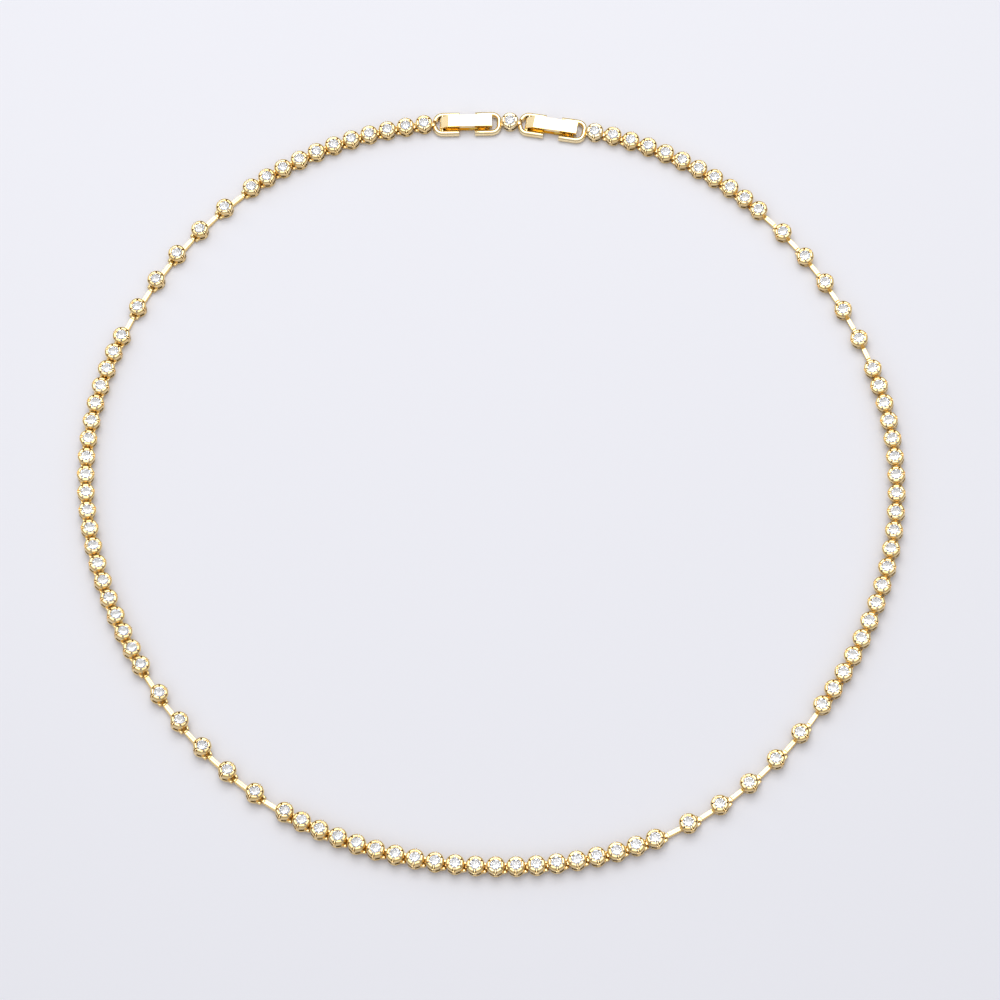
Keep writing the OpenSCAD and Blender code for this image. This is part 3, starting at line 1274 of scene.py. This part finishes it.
@dataclass
class Necklace:
    """The whole necklace: its links, bars, stones and clasps."""

    loop: Loop = field(default_factory=Loop)
    cup: Cup = field(default_factory=Cup)
    joint: Joint = field(default_factory=Joint)
    stone: Stone = field(default_factory=Stone)
    clasp: Clasp = field(default_factory=Clasp)
    gold: GoldFinish = GoldFinish(
        "polished_gold", (0.95, 0.73, 0.37, 1), (0.89, 0.64, 0.27, 1), 0.1, 0.18, 0.1
    )
    clasp_gold: GoldFinish = GoldFinish(
        "clasp_polished_gold", (1.0, 0.83, 0.51, 1), (0.98, 0.77, 0.42, 1), 0.08, 0.14, 0.08
    )
    # Deeper, more saturated copy of the gold for the works under the cover: painted shade and
    # bounced warm light of the cover.
    painted_shade_gold: GoldFinish = GoldFinish(
        "deep_yellow_gold", (1.0, 0.72, 0.16, 1), (0.86, 0.52, 0.07, 1), 0.14, 0.26, 0.2
    )
    crystal: StoneFinish = StoneFinish(
        "cut_zirconia", (0.89, 0.935, 1.0, 1), (0.83, 0.885, 1.0, 1), 2.16, 0.9
    )

    def build(self) -> None:
        """Makes every piece of the necklace and puts it on its body."""
        places = self.loop.places()
        gold, clasp_gold = self.gold.material(), self.clasp_gold.material()
        painted_shade_gold, crystal = self.painted_shade_gold.material(), self.crystal.material()
        self.links(places, gold)
        self.stones(places, crystal)
        self.clasps(places, clasp_gold, painted_shade_gold)

    def reach(self, kind: Kind) -> float:
        """Gives the distance from a setting's middle to its eye, for a kind of link."""
        return self.loop.piece_length(kind) - self.joint.fork_reach

    def links(self, places: Sequence[Place], gold: bpy.types.Material) -> None:
        """Makes the plain and the bar links, one piece for each run.

        Args:
            places: Where the chain's pieces lie.
            gold: Their material.
        """
        shift = Matrix.Translation((self.joint.fork_reach, 0, 0))
        for kind, node in {Kind.LINK: "plain_links", Kind.BAR: "bar_links"}.items():
            reach = self.reach(kind)
            tongue_top = self.joint.ear_top if kind is Kind.LINK else 0
            cup = self.cup.build(self.joint.eye_top, tongue_top)
            parts = [cup, *self.joint.fork(), self.joint.tongue(reach)]
            if kind is Kind.BAR:
                self.joint.notch(parts[-1], reach)
                parts.append(self.joint.bar(reach))
            master = Bench.joined(parts)
            runs: dict[str, list[Matrix]] = {}
            for place in places:
                if place.kind is kind:
                    runs.setdefault(place.run, []).append(place.pose @ shift)
            for run, poses in runs.items():
                piece = Bench.copied(master, poses, f"{kind.value}s_{run}")
                self.dress(piece, gold, NECKLACE_BODY, Slot.GOLD, node)
            bpy.data.objects.remove(master)

    def stones(self, places: Sequence[Place], crystal: bpy.types.Material) -> None:
        """Makes the stones, one piece for each run.

        Args:
            places: Where the chain's pieces lie.
            crystal: Their material.
        """
        master = self.stone.build()
        runs: dict[str, list[Matrix]] = {}
        for place in places:
            along, key = self.joint.fork_reach, f"{place.kind.value}s_{place.run}"
            if place.kind is Kind.CLASP:
                along, key = self.clasp.joint_x + self.clasp.cup_x, "clasps"
            runs.setdefault(key, []).append(place.pose @ Matrix.Translation((along, 0, 0)))
        for key, poses in runs.items():
            piece = Bench.copied(master, poses, f"stones_{key}")
            self.dress(piece, crystal, NECKLACE_BODY, Slot.STONE, "stones", smooth=False)
        bpy.data.objects.remove(master)

    def clasps(
        self, places: Sequence[Place], gold: bpy.types.Material, inner: bpy.types.Material
    ) -> None:
        """Makes both clasps.

        Args:
            places: Where the chain's pieces lie.
            gold: The material of what shows from above.
            inner: The material of the strip and its catch, a deeper, more saturated gold with the
                cover's shade painted in.
        """
        cup = self.cup.build(0, self.clasp.bow_top)
        tongue = self.joint.tongue
        masters = {
            "bow": (self.clasp.slotted_bow(), "body", gold),
            # The works under the cover take the gold with the cover's shade painted in.
            "works": (self.clasp.works(), "body", inner),
            "end": (self.clasp.loop(cup, tongue(self.reach(Kind.LINK))), "loop", gold),
            "lid": (self.clasp.cover(), "cover", gold),
        }
        shift = Matrix.Translation((self.clasp.joint_x, 0, 0))
        for place in places:
            if place.kind is not Kind.CLASP:
                continue
            for part, (master, node, material) in masters.items():
                piece = Bench.copied(master, [place.pose @ shift], f"{place.run}_{part}")
                body = f"{place.run}_cover" if node == "cover" else NECKLACE_BODY
                self.dress(piece, material, body, Slot.CLASP_GOLD, f"{place.run}_{node}")
        for master, _, _ in masters.values():
            bpy.data.objects.remove(master)

    @staticmethod
    def dress(
        piece: Item,
        material: bpy.types.Material,
        body: str,
        slot: Slot,
        node: str,
        smooth: bool = True,
    ) -> None:
        """Shades a piece, gives it its material and puts it in the place of its solid.

        Args:
            piece: The piece.
            material: Its material.
            body: The body that it rides on.
            slot: Not used.
            node: The solid that it stands for.
            smooth: Whether it is shaded smoothly between its sharp edges.
        """
        piece.data.materials.clear()
        piece.data.materials.append(material)
        if smooth:
            Bench.hold(piece)
            bpy.ops.object.shade_smooth_by_angle(angle=SHARP_ANGLE)
            evening = piece.modifiers.new("even_flats", "WEIGHTED_NORMAL")
            evening.keep_sharp = True
            bpy.ops.object.modifier_apply(modifier=evening.name)
        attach(piece, body)
        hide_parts(node)
        LOG.info("%s: %d faces", piece.name, len(piece.data.polygons))


@dataclass(frozen=True)
class Lamp:
    """Square soft lamp that looks at the middle of the loop, in metres and watts."""

    name: str
    place: Point
    size: float
    power: float

    def hang(self) -> None:
        """Adds the lamp to the scene."""
        data = bpy.data.lights.new(self.name, "AREA")
        data.size = self.size
        data.energy = self.power
        lamp = bpy.data.objects.new(self.name, data)
        lamp.location = self.place
        lamp.rotation_euler = Vector(self.place).to_track_quat("Z", "Y").to_euler()
        bpy.context.collection.objects.link(lamp)


@dataclass
class Studio:
    """Pale floor, soft lights, surroundings and the camera.

    The room's rows give the place on its ramp, from straight below at 0, and the brightness there.
    """

    floor_size: float = 3.0
    floor: FloorFinish = FloorFinish("pale_floor", (0.85, 0.853, 0.9, 1), (0.84, 0.843, 0.89, 1))
    lamps: tuple[Lamp, ...] = (
        Lamp("overhead", (-0.01, 0.2, 0.5), 0.36, 1.2),
        Lamp("side", (-0.5, 0.36, 0.22), 0.3, 0.18),
    )
    room_rows: tuple[Span, ...] = (
        (0.0, 0.1), (0.2, 0.2), (0.45, 0.6), (0.8, 0.95), (1.0, 1.0),
    )
    room_blue: float = 1.02
    room_strength: float = 0.83
    camera_place: Point = (0.02751, -0.162493, 0.441405)
    camera_turn: Point = (19.8132, 3.1187, 0.5329)
    camera_lens: float = 103.09
    camera_sensor: float = 36.0
    camera_near: float = 0.01

    def build(self) -> None:
        """Sets up the floor, the lights, the surroundings and the camera."""
        Bench.clear()
        bpy.ops.mesh.primitive_plane_add(size=self.floor_size)
        floor = bpy.context.object
        floor.name = "floor"
        floor.data.materials.append(self.floor.material())
        for lamp in self.lamps:
            lamp.hang()
        self.surroundings()
        self.camera()
        bpy.context.scene.view_settings.view_transform = "Standard"

    def surroundings(self) -> None:
        """Sets a pale room that is darker towards the horizon and below it."""
        world = bpy.data.worlds.new("pale_room")
        bpy.context.scene.world = world
        world.use_nodes = True
        nodes = world.node_tree.nodes
        place = nodes.new("ShaderNodeTexCoord")
        parts = nodes.new("ShaderNodeSeparateXYZ")
        ramp = nodes.new("ShaderNodeValToRGB")
        while len(ramp.color_ramp.elements) < len(self.room_rows):
            ramp.color_ramp.elements.new(0.5)
        for element, (position, level) in zip(ramp.color_ramp.elements, self.room_rows):
            element.position = position
            element.color = (level, level, level * self.room_blue, 1)
        background = nodes["Background"]
        set_inputs(background, {"Strength": self.room_strength})
        wire(
            world.node_tree,
            (place, "Generated", parts, "Vector"),
            (parts, "Z", ramp, "Fac"),
            (ramp, "Color", background, "Color"),
        )

    def camera(self) -> None:
        """Adds the camera at the photograph's angle."""
        data = bpy.data.cameras.new("photo_camera")
        data.lens = self.camera_lens
        data.sensor_width = self.camera_sensor
        data.clip_start = self.camera_near
        data.dof.use_dof = False
        camera = bpy.data.objects.new("photo_camera", data)
        camera.location = self.camera_place
        camera.rotation_euler = [math.radians(angle) for angle in self.camera_turn]
        bpy.context.collection.objects.link(camera)
        bpy.context.scene.camera = camera


def main() -> None:
    """Builds the necklace and its studio."""
    logging.basicConfig(level=logging.INFO, format="%(name)s: %(message)s")
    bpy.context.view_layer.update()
    Necklace().build()
    Studio().build()


if __name__ == "__main__":
    main()
